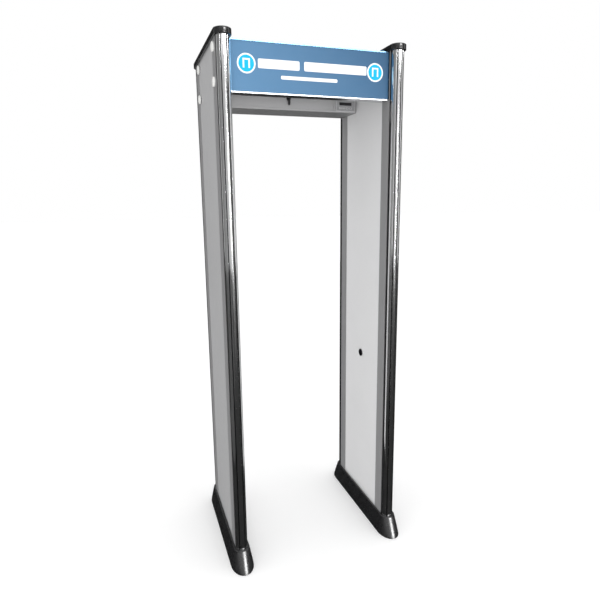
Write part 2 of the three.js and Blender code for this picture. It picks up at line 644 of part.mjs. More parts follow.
function buildLeg(name, side) {
  const leg = new THREE.Group();
  leg.position.x = side * LEG_X;
  gate.add(leg);
  for (const [end, turn] of [['front', 0], ['rear', Math.PI]]) {
    const away = turn ? 1 : -1;
    const post = piece(`${name}_${end}_post`, postGeometry(), polishedMetal(), leg);
    post.position.y = away * (NOSE_Y + GAP / 2);
    const strip = piece(`${name}_${end}_joint_strip`, stripGeometry(), blackStrip(), leg);
    strip.position.y = away * (NOSE_Y - STRIP_WIDTH / 2);
    const channel = piece(`${name}_${end}_channel`, channelGeometry(!turn), channelGrey(), leg);
    channel.position.y = away * CHANNEL_Y;
    for (const profile of [post, strip, channel]) profile.rotation.z = turn;
  }
  piece(`${name}_outer_panel`, boardGeometry(side, false), panelGrey(), leg);
  piece(`${name}_inner_panel`, boardGeometry(-side, true), panelGrey(), leg);
  piece(`${name}_top_cap`, capGeometry(), capBlack(), leg);
  piece(`${name}_foot`, footGeometry(), footBlack(), leg);
  piece(side < 0 ? 'transmit_coil' : 'receive_coil', coilGeometry(), coilCopper(), leg);

  const sensor = piece(`${name}_beam_sensor`, sensorGeometry(), lensBlack(), leg);
  sensor.rotation.z = side * Math.PI / 2;
  sensor.position.set(-side * NOSE_RADIUS, 0, SENSOR_Z);

  for (const [end, y] of [['front', BOLT_FRONT_Y], ['rear', BOLT_REAR_Y]]) {
    BOLT_ROWS.forEach((z, row) => {
      const level = row === 0 ? 'upper' : 'lower';
      const bolt = piece(`${name}_${end}_${level}_header_bolt`, boltGeometry(), knobWhite(), leg);
      bolt.rotation.z = -side * Math.PI / 2;
      bolt.position.set(side * NOSE_RADIUS, y, z);
    });
  }
}

function buildHeader() {
  const back = SIGN_FRONT_Y + SIGN_DEPTH;
  piece('sign_frame', signFrameGeometry(), trimMetal());
  piece('sign_face', signSheet(SIGN_FRONT_Y + SHEET + GAP, 3), signBlue());
  piece('sign_back', signSheet(back - SHEET, SHEET), headerGrey());
  piece('beam_top_cover', topCoverGeometry(), headerGrey());
  piece('unit_housing', unitHousingGeometry(), headerGrey());
  piece('unit_front_frame', frontFrameGeometry(), headerGrey());
  piece('service_door', serviceDoorGeometry(), headerGrey());
  piece('door_hinge_pin', barX(HINGE_PIN_RADIUS, DOOR_LEFT, DOOR_RIGHT, HINGE_Y, HINGE_Z, 12), darkSteel());
  piece('door_latch', latchGeometry(), latchBlack());
  piece('latch_cam', camGeometry(), darkSteel());
}

function buildControlUnit() {
  piece('control_bezel', bezelGeometry(), bezelGrey());
  piece('control_faceplate', faceplateGeometry(), faceGrey());
  piece('display_window', paneGeometry(DISPLAY), lensBlack());
  piece('alarm_window', paneGeometry(ALARM), alarmRed());
  piece('control_board', controlBoardGeometry(), boardGreen());
  for (const { name, x } of keyPlaces) piece(name, keyGeometry(x), keyGrey());
}

function buildElectrics() {
  piece('main_board', mainBoardGeometry(), boardGreen());
  piece('power_supply', powerSupplyGeometry(), trimMetal());
  piece('siren', sirenGeometry(), latchBlack());
  piece('power_inlet', inletGeometry(), latchBlack());
  piece('switch_frame', switchFrameGeometry(), latchBlack());
  const rocker = piece('power_rocker', rockerGeometry(), alarmRed());
  rocker.position.set(SWITCH_X, UNIT_BACK_Y - 2, REAR_FITTING_Z);
  rocker.rotation.x = ROCKER_TILT;
}

buildLeg('left', -1);
buildLeg('right', 1);
buildHeader();
buildControlUnit();
buildElectrics();

export default gate;
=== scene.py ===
"""Looks of a walk-through metal detector gate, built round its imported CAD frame. Metres, +Z up."""
import json
import math

import bmesh
import bpy
from mathutils import Matrix, Vector

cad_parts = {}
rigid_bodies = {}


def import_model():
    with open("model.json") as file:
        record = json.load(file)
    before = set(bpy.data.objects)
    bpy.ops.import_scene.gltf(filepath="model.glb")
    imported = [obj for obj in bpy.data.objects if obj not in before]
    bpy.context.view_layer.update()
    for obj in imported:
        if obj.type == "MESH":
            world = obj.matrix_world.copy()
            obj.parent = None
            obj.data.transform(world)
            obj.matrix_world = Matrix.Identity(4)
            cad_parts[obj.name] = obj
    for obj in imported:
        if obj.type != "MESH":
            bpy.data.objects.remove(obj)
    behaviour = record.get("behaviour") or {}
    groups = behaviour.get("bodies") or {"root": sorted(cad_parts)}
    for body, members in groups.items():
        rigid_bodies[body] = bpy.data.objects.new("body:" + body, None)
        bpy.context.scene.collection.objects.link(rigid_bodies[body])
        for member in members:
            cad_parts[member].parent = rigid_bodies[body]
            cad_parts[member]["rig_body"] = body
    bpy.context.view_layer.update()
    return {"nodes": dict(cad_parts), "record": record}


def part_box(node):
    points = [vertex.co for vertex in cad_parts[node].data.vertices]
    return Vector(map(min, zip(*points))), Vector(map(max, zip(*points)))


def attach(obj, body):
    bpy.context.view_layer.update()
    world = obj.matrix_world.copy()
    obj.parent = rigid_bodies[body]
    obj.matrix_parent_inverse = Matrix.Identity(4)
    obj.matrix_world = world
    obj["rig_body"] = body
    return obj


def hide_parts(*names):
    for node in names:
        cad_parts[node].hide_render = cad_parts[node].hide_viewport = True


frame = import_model()
SLOT = {part["node"]: part["material_slot"] for part in frame["record"]["subparts"]}
MM = 0.001
BODY = "gate"


# ---------------------------------------------------------------- looks
class Look:
    """A node material on one Principled shader, with patterns in the object's own metres."""

    def __init__(self, name, colour, roughness, metallic=0.0, coat=0.0):
        self.material = bpy.data.materials.new(name)
        self.material.use_nodes = True
        self.tree = self.material.node_tree
        self.shader = self.tree.nodes["Principled BSDF"]
        self.colour = colour
        self.set("Base Color", (*colour, 1))
        self.set("Roughness", roughness)
        self.set("Metallic", metallic)
        self.set("Coat Weight", coat)
        self.roughness = roughness
        self.place = self.add("ShaderNodeTexCoord").outputs["Object"]
        self.height = None

    def add(self, kind, **settings):
        node = self.tree.nodes.new(kind)
        for key, value in settings.items():
            setattr(node, key, value)
        return node

    def link(self, output, target):
        self.tree.links.new(output, target)

    def set(self, socket, value):
        self.shader.inputs[socket].default_value = value

    def noise(self, scale, detail=3.0, stretch=(1, 1, 1)):
        """Noise with scale features to the metre, made coarser along an axis by a stretch below 1."""
        mapping = self.add("ShaderNodeMapping")
        mapping.inputs["Scale"].default_value = [scale * s for s in stretch]
        texture = self.add("ShaderNodeTexNoise")
        texture.inputs["Scale"].default_value = 1.0
        texture.inputs["Detail"].default_value = detail
        self.link(self.place, mapping.inputs["Vector"])
        self.link(mapping.outputs["Vector"], texture.inputs["Vector"])
        return texture.outputs["Fac"]

    def along(self, axis):
        """The position along one axis, in metres."""
        split = self.add("ShaderNodeSeparateXYZ")
        self.link(self.place, split.inputs["Vector"])
        return split.outputs[axis]

    def from_nose(self):
        """The distance from the upright line about which a leg's nose is rounded."""
        x = self.math("ABSOLUTE", self.along("X"))
        y = self.math("ABSOLUTE", self.along("Y"))
        aside = self.math("SUBTRACT", x, NOSE["x"])
        ahead = self.math("SUBTRACT", y, NOSE["y"])
        aside_squared = self.math("MULTIPLY", aside, aside)
        ahead_squared = self.math("MULTIPLY", ahead, ahead)
        return self.math("SQRT", self.math("ADD", aside_squared, ahead_squared))

    def math(self, operation, *values):
        node = self.add("ShaderNodeMath", operation=operation)
        for socket, value in zip(node.inputs, values):
            if isinstance(value, float):
                socket.default_value = value
            else:
                self.link(value, socket)
        return node.outputs["Value"]

    def spread(self, value, low, high, to_low=0.0, to_high=1.0):
        node = self.add("ShaderNodeMapRange")
        limits = {"From Min": low, "From Max": high, "To Min": to_low, "To Max": to_high}
        for socket, number in limits.items():
            node.inputs[socket].default_value = number
        self.link(value, node.inputs["Value"])
        return node.outputs["Result"]

    def tint(self, factor, other):
        """Blends the colour towards another one by a factor."""
        mix = self.add("ShaderNodeMix", data_type="RGBA")
        present = self.shader.inputs["Base Color"]
        if present.is_linked:
            self.link(present.links[0].from_socket, mix.inputs[6])
        else:
            mix.inputs[6].default_value = (*self.colour, 1)
        mix.inputs[7].default_value = (*other, 1)
        self.link(factor, mix.inputs[0])
        self.link(mix.outputs[2], present)
        return self

    def mottle(self, scale, share, detail=3.0, stretch=(1, 1, 1)):
        """Uneven colour: darker by up to a share of itself."""
        darker = [c * (1 - share) for c in self.colour]
        return self.tint(self.spread(self.noise(scale, detail, stretch), 0.35, 0.7), darker)

    def uneven_gloss(self, scale, spread, stretch=(1, 1, 1)):
        low, high = max(0.02, self.roughness - spread), self.roughness + spread
        gloss = self.spread(self.noise(scale, 4.0, stretch), 0.3, 0.7, low, high)
        self.link(gloss, self.shader.inputs["Roughness"])
        return self

    def relief(self, value, strength, distance):
        bump = self.add("ShaderNodeBump")
        bump.inputs["Strength"].default_value = strength
        bump.inputs["Distance"].default_value = distance
        self.link(value, bump.inputs["Height"])
        target = self.shader.inputs["Normal"]
        if target.is_linked:
            self.link(target.links[0].from_socket, bump.inputs["Normal"])
        self.link(bump.outputs["Normal"], target)
        return self

    def grain(self, scale, strength, distance=0.0002, detail=2.0, stretch=(1, 1, 1)):
        return self.relief(self.noise(scale, detail, stretch), strength, distance)


post_low, post_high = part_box("right_front_post")
NOSE = {
    "x": (post_low.x + post_high.x) / 2,
    "y": -post_high.y,
    "radius": (post_high.x - post_low.x) / 2,
}
ALONG_Z = (1, 1, 0.004)
ALONG_X = (0.004, 1, 1)


def polished_metal():
    look = Look("polished_metal", (0.88, 0.885, 0.89), 0.09, metallic=1.0)
    look.mottle(900, 0.05, stretch=ALONG_Z)
    # Painted shade: the colour goes near black in the grooves either side of the nose, standing in for the
    # shade that falls in them.
    depth = look.spread(look.from_nose(), NOSE["radius"] - 0.5 * MM, NOSE["radius"] - 1.6 * MM)
    look.tint(depth, (0.03, 0.03, 0.032))
    look.uneven_gloss(700, 0.035, ALONG_Z)
    return look.grain(1400, 0.03, stretch=ALONG_Z)


def black_strip():
    look = Look("black_strip", (0.014, 0.014, 0.015), 0.42)
    return look.mottle(600, 0.3).uneven_gloss(60, 0.08).grain(1500, 0.12, stretch=ALONG_Z)


def channel_grey():
    look = Look("channel_grey", (0.33, 0.33, 0.335), 0.45, metallic=0.15)
    look.mottle(800, 0.1, stretch=ALONG_Z)
    return look.uneven_gloss(500, 0.06, ALONG_Z).grain(1600, 0.06, stretch=ALONG_Z)


def panel_board(name, colour):
    look = Look(name, colour, 0.55)
    look.mottle(5, 0.035, 4.0)
    look.mottle(1300, 0.05)
    scuffs = look.spread(look.noise(18, 6.0, (1, 1, 0.35)), 0.66, 0.8, 0, 0.12)
    look.tint(scuffs, [0.7 * c for c in colour])
    return look.uneven_gloss(40, 0.06).grain(1500, 0.1, 0.0001)


def cap_black():
    look = Look("cap_black", (0.012, 0.012, 0.013), 0.2, coat=0.3)
    return look.mottle(300, 0.3).uneven_gloss(90, 0.06).grain(700, 0.04)


def foot_black():
    look = Look("foot_black", (0.013, 0.013, 0.014), 0.31)
    look.set("Specular IOR Level", 1.0)
    look.tint(look.spread(look.noise(26, 6.0), 0.6, 0.78, 0, 0.35), (0.035, 0.035, 0.035))
    return look.uneven_gloss(70, 0.07).grain(1500, 0.22, 0.0003)


def knob_white():
    look = Look("knob_white", (0.82, 0.82, 0.8), 0.3)
    return look.mottle(60, 0.04).uneven_gloss(120, 0.06).grain(500, 0.05)


def coil_copper():
    look = Look("coil_copper", (0.36, 0.13, 0.05), 0.45, metallic=0.4)
    turns = look.add("ShaderNodeTexWave", wave_type="BANDS", bands_direction="X")
    turns.inputs["Scale"].default_value = 260
    look.link(look.place, turns.inputs["Vector"])
    return look.relief(turns.outputs["Fac"], 0.7, 0.0006).mottle(90, 0.35)


def sensor_black():
    look = Look("sensor_black", (0.006, 0.005, 0.008), 0.1, coat=0.5)
    return look.mottle(200, 0.3).uneven_gloss(160, 0.05)


def sign_blue():
    look = Look("sign_blue", (0.098, 0.225, 0.385), 0.4)
    look.set("Specular IOR Level", 0.06)
    # Painted light: the blue darkens towards the right and lightens towards the lower edge, standing in for
    # how the light falls across the sign.
    look.tint(look.spread(look.along("X"), -0.33, 0.33), (0.036, 0.105, 0.205))
    look.tint(look.spread(look.along("Z"), 2.17, 1.99, 0, 0.18), (0.11, 0.25, 0.42))
    return look.uneven_gloss(30, 0.05).grain(1200, 0.06, 0.0001)


def printed(name, colour):
    look = Look(name, colour, 0.38)
    look.set("Specular IOR Level", 0.06)
    return look.mottle(900, 0.05).uneven_gloss(50, 0.05).grain(1200, 0.05, 0.0001)


def brushed(name, colour, roughness, stretch):
    look = Look(name, colour, roughness, metallic=1.0)
    look.mottle(1200, 0.14, stretch=stretch)
    return look.uneven_gloss(900, 0.08, stretch).grain(1800, 0.12, stretch=stretch)


def trim_metal():
    """Bright along the sign's lower edge, and toned down round the rest."""
    look = brushed("trim_metal", (0.6, 0.61, 0.63), 0.24, ALONG_X)
    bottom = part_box("sign_frame")[0].z
    look.tint(look.spread(look.along("Z"), bottom + 5 * MM, bottom + 8 * MM), (0.09, 0.17, 0.26))
    return look


def header_grey():
    look = Look("header_grey", (0.43, 0.43, 0.435), 0.42)
    look.mottle(7, 0.05, 4.0)
    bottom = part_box("unit_housing")[0].z
    # Painted shade: the housing's underside is tinted a darker grey, standing in for the shade under the
    # beam.
    look.tint(look.spread(look.along("Z"), bottom + 2 * MM, bottom + 0.5 * MM), (0.19, 0.19, 0.192))
    return look.uneven_gloss(50, 0.06).grain(700, 0.12, 0.0002)


def moulded(name, colour, roughness, grain=0.1):
    return Look(name, colour, roughness).mottle(150, 0.12).uneven_gloss(90, 0.06).grain(1600, grain)


def lens(name, colour):
    return Look(name, colour, 0.08, coat=0.6).mottle(500, 0.2).uneven_gloss(200, 0.04)


def board_green():
    look = Look("board_green", (0.012, 0.11, 0.04), 0.32)
    cells = look.add("ShaderNodeTexBrick")
    cells.inputs["Scale"].default_value = 130
    cells.inputs["Mortar Size"].default_value = 0.09
    turned = look.add("ShaderNodeMapping")
    turned.inputs["Rotation"].default_value = (math.pi / 2, 0, 0)
    look.link(look.place, turned.inputs["Vector"])
    look.link(turned.outputs["Vector"], cells.inputs["Vector"])
    look.tint(look.spread(cells.outputs["Fac"], 0, 1, 0, 0.8), (0.05, 0.26, 0.09))
    return look.relief(cells.outputs["Fac"], 0.3, 0.0001)


LOOKS = {
    "polished_metal": polished_metal(),
    "black_strip": black_strip(),
    "channel_grey": channel_grey(),
    # Painted light: the outer panels get a darker grey than the inner panels' copy of the same board,
    # standing in for how the light falls on each side.
    "panel_grey": panel_board("panel_grey", (0.44, 0.44, 0.445)),
    "cap_black": cap_black(),
    "foot_black": foot_black(),
    "knob_white": knob_white(),
    "coil_copper": coil_copper(),
    "sensor_black": sensor_black(),
    "sign_blue": sign_blue(),
    "trim_metal": trim_metal(),
    "header_grey": header_grey(),
    "steel": brushed("steel", (0.4, 0.4, 0.41), 0.34, (1, 1, 1)),
    "latch_black": moulded("latch_black", (0.012, 0.012, 0.013), 0.38),
    "bezel_grey": moulded("bezel_grey", (0.52, 0.52, 0.53), 0.36),
    "face_grey": moulded("face_grey", (0.38, 0.38, 0.39), 0.5),
    "display_lens": lens("display_lens", (0.008, 0.008, 0.011)),
    "alarm_lens": lens("alarm_lens", (0.17, 0.012, 0.012)),
    "key_grey": moulded("key_grey", (0.6, 0.6, 0.61), 0.6),
    "board_green": board_green(),
    "steel_case": brushed("steel_case", (0.6, 0.6, 0.61), 0.36, ALONG_X),
    "rocker_red": moulded("rocker_red", (0.3, 0.012, 0.01), 0.28, 0.04),
}
# Painted light: a lighter copy of the panel board for the inner panels, standing in for the light that
# falls on them.
LIT_INNER_PANEL = panel_board("inner_panel_painted_lit", (0.78, 0.78, 0.785))
PRINT_WHITE = printed("print_white", (0.86, 0.87, 0.88))
PRINT_CYAN = printed("print_cyan", (0.001, 0.45, 0.78))
CHIP_BLACK = moulded("chip_black", (0.02, 0.02, 0.021), 0.5)
SOLDER = brushed("solder", (0.66, 0.66, 0.64), 0.3, (1, 1, 1))


# ---------------------------------------------------------------- meshes
def piece(name, bm, slot, body=BODY, stands_for=(), look=None, bevel=0.0, sharp=35):
    """A new visible object from a bmesh: shaded, given its look and hung on its body."""
    bmesh.ops.recalc_face_normals(bm, faces=bm.faces)
    mesh = bpy.data.meshes.new(name)
    bm.to_mesh(mesh)
    bm.free()
    mesh.shade_smooth()
    mesh.set_sharp_from_angle(angle=math.radians(sharp))
    mesh.materials.append((look or LOOKS[slot]).material)
    made = bpy.data.objects.new(name, mesh)
    bpy.context.scene.collection.objects.link(made)
    if bevel:
        rounding = made.modifiers.new("rounding", "BEVEL")
        rounding.width = bevel
        rounding.segments = 3
        rounding.limit_method = "ANGLE"
        rounding.angle_limit = math.radians(sharp)
        rounding.harden_normals = True
    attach(made, body)
    if stands_for:
        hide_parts(*stands_for)
    return made


def fine(node, bevel, look=None):
    """A CAD piece again with its flat faces joined up and its edges rounded."""
    source = frame["nodes"][node]
    bm = bmesh.new()
    bm.from_mesh(source.data)
    bmesh.ops.remove_doubles(bm, verts=bm.verts, dist=1e-5)
    bmesh.ops.dissolve_limit(bm, angle_limit=math.radians(1), verts=bm.verts, edges=bm.edges)
    return piece(f"{node}_fine", bm, SLOT[node], source["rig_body"], [node], look, bevel)


def loft(bm, rings, closed_ends=True):
    """Joins closed rings of points, each with as many points, into one skin."""
    rows = [[bm.verts.new(point) for point in ring] for ring in rings]
    count = len(rows[0])
    for low, high in zip(rows, rows[1:]):
        for i in range(count):
            j = (i + 1) % count
            bm.faces.new((low[i], low[j], high[j], high[i]))
    if closed_ends:
        bm.faces.new(rows[0])
        bm.faces.new(rows[-1])
    return rows


def revolve(bm, profile, origin, axis, steps=48):
    """Turns a profile of (radius, distance) about an axis. It starts and ends on the axis."""
    turn = Vector((0, 0, 1)).rotation_difference(Vector(axis)).to_matrix()
    place = lambda r, h, a: Vector(origin) + turn @ Vector((r * math.cos(a), r * math.sin(a), h))
    rings = [
        [place(r, h, 2 * math.pi * i / steps) for i in range(steps)] for r, h in profile[1:-1]
    ]
    rows = loft(bm, rings, closed_ends=False)
    for row, (_, h) in ((rows[0], profile[0]), (rows[-1], profile[-1])):
        tip = bm.verts.new(place(0, h, 0))
        for i in range(steps):
            bm.faces.new((row[i], row[(i + 1) % steps], tip))


def fillet(radius, edge_radius, height, steps=5):
    """Profile points that round an edge at (radius, height), coming up the side."""
    points = []
    for i in range(steps + 1):
        a = math.pi / 2 * i / steps
        inward = edge_radius * (1 - math.cos(a))
        below = edge_radius * (1 - math.sin(a))
        points.append((radius - inward, height - below))
    return points


def slab(bm, outline, normal_axis, low, high):
    """A closed plate: an outline in two axes, pushed along the third (0 X, 1 Y, 2 Z)."""
    rings = []
    for level in (low, high):
        ring = []
        for point in outline:
            place = list(point)
            place.insert(normal_axis, level)
            ring.append(Vector(place))
        rings.append(ring)
    loft(bm, rings)


def rounded_bar(left, right, bottom, top, radius, steps=6):
    """A rectangle's outline with round corners."""
    points = []
    corners = ((right, top), (left, top), (left, bottom), (right, bottom))
    for k, (x, z) in enumerate(corners):
        inward_x = -radius if k in (0, 3) else radius
        inward_z = -radius if k in (0, 1) else radius
        for i in range(steps + 1):
            a = math.pi / 2 * (k + i / steps)
            centre_x, centre_z = x + inward_x, z + inward_z
            points.append((centre_x + radius * math.cos(a), centre_z + radius * math.sin(a)))
    return points


def circle(x, z, radius, steps=48):
    angles = [2 * math.pi * i / steps for i in range(steps)]
    return [(x + radius * math.cos(a), z + radius * math.sin(a)) for a in angles]


# ---------------------------------------------------------------- legs
LEG = {}
for side_name in ("left", "right"):
    low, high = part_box(f"{side_name}_front_post")
    LEG[side_name] = {
        "x": (low.x + high.x) / 2,
        "radius": (high.x - low.x) / 2,
        "nose_y": -high.y,
        "side": -1 if side_name == "left" else 1,
    }
GROOVES = (-28, 28)  # degrees either side of the nose
GROOVE_STEPS = ((-5.6, 0), (-5.0, 0.03), (-4.5, 0.14), (-4.2, 0.4), (-3.9, 0.9), (-3.3, 1))
GROOVE_DEPTH = 2.2 * MM


def post_outline(radius):
    """Half-round profile with its nose at -Y, as (x, y) about the nose centre, with grooves."""
    marks = []
    for centre in GROOVES:
        for offset, share in GROOVE_STEPS:
            marks += [(centre + offset, share), (centre - offset, share)]
    covered = [(c - 5.8, c + 5.8) for c in GROOVES]
    for i in range(-45, 46):
        angle = i * 2.0
        if not any(a < angle < b for a, b in covered):
            marks.append((angle, 0))
    points = []
    for angle, share in sorted(marks):
        r = radius - GROOVE_DEPTH * share
        a = math.radians(angle)
        points.append((r * math.sin(a), -r * math.cos(a)))
    return points


def leg_post(side_name, end):
    node = f"{side_name}_{end}_post"
    leg = LEG[side_name]
    low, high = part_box(node)
    toward = 1 if end == "front" else -1
    nose = -leg["nose_y"] * toward
    outer = post_outline(leg["radius"])
    middle_y = -0.35 * leg["radius"]
    inner = [(x * 0.86, middle_y + (y - middle_y) * 0.84) for x, y in outer]
    bm = bmesh.new()
    place = lambda points, z: [Vector((leg["x"] + toward * x, nose + toward * y, z)) for x, y in points]
    rings = [place(inner, low.z), place(outer, low.z), place(outer, high.z), place(inner, high.z)]
    rows = loft(bm, rings, closed_ends=False)
    count = len(outer)
    for i in range(count):
        j = (i + 1) % count
        bm.faces.new((rows[3][i], rows[3][j], rows[0][j], rows[0][i]))
    return piece(f"{node}_fine", bm, SLOT[node], stands_for=[node], sharp=50)


def leg_ring(leg, half_width, reach, z, steps=32):
    """A leg's plan at a height: straight sides, and half ellipses front and rear."""
    points = []
    for end in (1, -1):
        for i in range(steps + 1):
            a = math.pi * i / steps
            x = end * half_width * math.cos(a)
            y = end * (leg["nose_y"] + reach * math.sin(a))
            points.append(Vector((leg["x"] + x, y, z)))
    return points


def top_cap(side_name):
    node = f"{side_name}_top_cap"
    leg = LEG[side_name]
    low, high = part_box(node)
    socket_r = leg["radius"] + 0.3 * MM
    outer_r = (high.x - low.x) / 2
    edge = 4 * MM
    levels = [(socket_r, low.z + 4 * MM), (socket_r, low.z + 0.5 * MM), (socket_r + 0.5 * MM, low.z)]
    levels += [(outer_r - 1.2 * MM, low.z), (outer_r - 0.4 * MM, low.z + 0.3 * MM)]
    levels.append((outer_r, low.z + 1.2 * MM))
    levels += fillet(outer_r, edge, high.z - 0.5 * MM, 6)
    levels += [(outer_r - 9 * MM, high.z - 0.1 * MM), (outer_r - 14 * MM, high.z)]
    bm = bmesh.new()
    loft(bm, [leg_ring(leg, r, r, z) for r, z in levels])
    return piece(f"{node}_fine", bm, SLOT[node], stands_for=[node])


FOOT_RIM = {"side": 9 * MM, "end": 12 * MM}
FOOT_SOCKET_FLOOR = 12 * MM
FOOT_FLARE_POWER = 1.1  # 1 would give straight sides


def foot(side_name):
    node = f"{side_name}_foot"
    leg = LEG[side_name]
    low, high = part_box(node)
    height = high.z
    flare_side = (high.x - low.x) / 2 - leg["radius"] - FOOT_RIM["side"]
    flare_end = (high.y - low.y) / 2 - leg["nose_y"] - leg["radius"] - FOOT_RIM["end"]
    socket_r = leg["radius"] + 0.3 * MM
    rings = [leg_ring(leg, socket_r, socket_r, FOOT_SOCKET_FLOOR)]
    rings.append(leg_ring(leg, socket_r, socket_r, height - 1 * MM))
    rings.append(leg_ring(leg, socket_r + 1 * MM, socket_r + 1 * MM, height))
    edge = 2.2 * MM
    rim = [(1 - math.sin(a), 1 - math.cos(a)) for a in [math.pi / 2 * i / 5 for i in range(6)]]
    for inward, drop in rim:
        side = FOOT_RIM["side"] - edge * inward
        end = FOOT_RIM["end"] - 1.8 * edge * inward
        rings.append(leg_ring(leg, leg["radius"] + side, leg["radius"] + end, height - edge * drop))
    stages = 14
    for i in range(1, stages + 1):
        share = 1 - i / stages
        fall = 1 - share ** FOOT_FLARE_POWER
        z = 2 * MM + share * (height - edge - 2 * MM)
        rings.append(leg_ring(leg, leg["radius"] + FOOT_RIM["side"] + flare_side * fall,
                              leg["radius"] + FOOT_RIM["end"] + flare_end * fall, z))
    full_side = leg["radius"] + FOOT_RIM["side"] + flare_side
    full_end = leg["radius"] + FOOT_RIM["end"] + flare_end
    for back, z in ((0.4 * MM, 0.8 * MM), (1.6 * MM, 0.0)):
        rings.append(leg_ring(leg, full_side - back, full_end - back, z))
    bm = bmesh.new()
    loft(bm, rings)
    return piece(f"{node}_fine", bm, SLOT[node], stands_for=[node])


def header_bolt(node, side):
    """A steel screw through the leg under a round white knob."""
    low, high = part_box(node)
    outer_x = high.x if side > 0 else low.x
    length = high.x - low.x
    origin = (outer_x, (low.y + high.y) / 2, (low.z + high.z) / 2)
    knob_r, shank_r, knob_h = 18 * MM, 4 * MM, 7.7 * MM
    profile = [(0, -length), (shank_r - 0.8 * MM, -length), (shank_r, 0.8 * MM - length)]
    profile += [(shank_r, -knob_h)]
    profile += [(knob_r - 0.6 * MM, -knob_h), (knob_r, 0.6 * MM - knob_h)]
    profile += fillet(knob_r, 3 * MM, 0)
    profile += [(10 * MM, 0), (9 * MM, -0.7 * MM), (3 * MM, -0.9 * MM), (0, -0.9 * MM)]
    bm = bmesh.new()
    revolve(bm, profile, origin, (side, 0, 0))
    return piece(f"{node}_fine", bm, SLOT[node], stands_for=[node])


def beam_sensor(node, side):
    """A round infrared window in a thin rim, in the inner panel."""
    low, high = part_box(node)
    face_x = low.x if side > 0 else high.x
    origin = (face_x, 0, (low.z + high.z) / 2)
    rim_r, barrel_r, depth = 18 * MM, 13.5 * MM, high.x - low.x
    profile = [(0, -depth), (barrel_r, -depth), (barrel_r, -4 * MM), (rim_r, -4 * MM)]
    profile += fillet(rim_r, 1 * MM, 0)
    profile += [(14.6 * MM, 0), (14.2 * MM, -0.8 * MM)]  # the step from the rim down to the window
    profile += [(9 * MM, -0.35 * MM), (4 * MM, -0.1 * MM), (0, 0)]
    bm = bmesh.new()
    revolve(bm, profile, origin, (-side, 0, 0), 64)
    return piece(f"{node}_fine", bm, SLOT[node], stands_for=[node])


for side_name, leg in LEG.items():
    for end in ("front", "rear"):
        leg_post(side_name, end)
        fine(f"{side_name}_{end}_joint_strip", 0.8 * MM)
        fine(f"{side_name}_{end}_channel", 0.5 * MM)
        for level in ("upper", "lower"):
            header_bolt(f"{side_name}_{end}_{level}_header_bolt", leg["side"])
    fine(f"{side_name}_outer_panel", 0.5 * MM)
    fine(f"{side_name}_inner_panel", 0.5 * MM, LIT_INNER_PANEL)
    top_cap(side_name)
    foot(side_name)
    beam_sensor(f"{side_name}_beam_sensor", leg["side"])
fine("transmit_coil", 2 * MM)
fine("receive_coil", 2 * MM)


# ---------------------------------------------------------------- sign
def screws(name, places, axis, radius=3.2 * MM, body=BODY, slot="steel"):
    """Pan-head screws with a hexagon recess, all in one piece."""
    bm = bmesh.new()
    for place in places:
        profile = [(0, -1.5 * MM), (radius * 0.5, -1.5 * MM), (radius * 0.5, 0.05 * MM)]
        profile += [(radius, 0.05 * MM)]
        profile += fillet(radius, 1.1 * MM, 1.7 * MM, 4)
        profile += [(radius * 0.46, 1.7 * MM), (radius * 0.46, 0.7 * MM), (0, 0.7 * MM)]
        revolve(bm, profile, place, axis, 24)
    return piece(name, bm, slot, body)


SIGN_BARS = (  # left, right, bottom, top
    (-0.223, -0.057, 2.078, 2.112),
    (-0.038, 0.229, 2.078, 2.112),
    (-0.133, 0.102, 2.043, 2.056),
)
BADGE_X = {"left": -0.268, "right": 0.268}
BADGE_Z = 2.092
BADGE_RADIUS = 36 * MM
BADGE_DISC_RADIUS = 30 * MM
ARCH = {"outer": 14 * MM, "inner": 8 * MM, "foot": 2.076, "under": 2.104, "top": 2.110}


def arch_outline(x):
    """A plain square-topped arch about an upright line, as (x, z)."""
    wide, narrow, foot_z = ARCH["outer"], ARCH["inner"], ARCH["foot"]
    outline = [(x - wide, foot_z), (x - wide, ARCH["top"]), (x + wide, ARCH["top"]), (x + wide, foot_z)]
    outline += [(x + narrow, foot_z), (x + narrow, ARCH["under"])]
    outline += [(x - narrow, ARCH["under"]), (x - narrow, foot_z)]
    return outline


def sign():
    fine("sign_frame", 0.9 * MM)
    fine("sign_face", 0.4 * MM)
    fine("sign_back", 0.5 * MM)
    front_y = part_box("sign_face")[0].y
    print_y = (front_y - 0.35 * MM, front_y - 0.05 * MM)
    bars = bmesh.new()
    for left, right, bottom, top in SIGN_BARS:
        slab(bars, rounded_bar(left, right, bottom, top, 5 * MM), 1, *print_y)
    piece("sign_bars", bars, "sign_blue", look=PRINT_WHITE)
    for side, x in BADGE_X.items():
        badge = bmesh.new()
        slab(badge, circle(x, BADGE_Z, BADGE_RADIUS), 1, *print_y)
        piece(f"sign_badge_{side}", badge, "sign_blue", look=PRINT_WHITE)
        inset = bmesh.new()
        slab(inset, circle(x, BADGE_Z, BADGE_DISC_RADIUS), 1,
             print_y[0] - 0.3 * MM, print_y[0] - 0.05 * MM)
        piece(f"sign_badge_disc_{side}", inset, "sign_blue", look=PRINT_CYAN)
        arch = bmesh.new()
        slab(arch, arch_outline(x), 1, print_y[0] - 0.6 * MM, print_y[0] - 0.35 * MM)
        piece(f"sign_badge_arch_{side}", arch, "sign_blue", look=PRINT_WHITE)
    back_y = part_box("sign_frame")[1].y
    places = [(x, back_y, z) for x in (-0.3, -0.1, 0.1, 0.3) for z in (1.996, 2.166)]
    screws("sign_back_screws", places, (0, 1, 0))


sign()


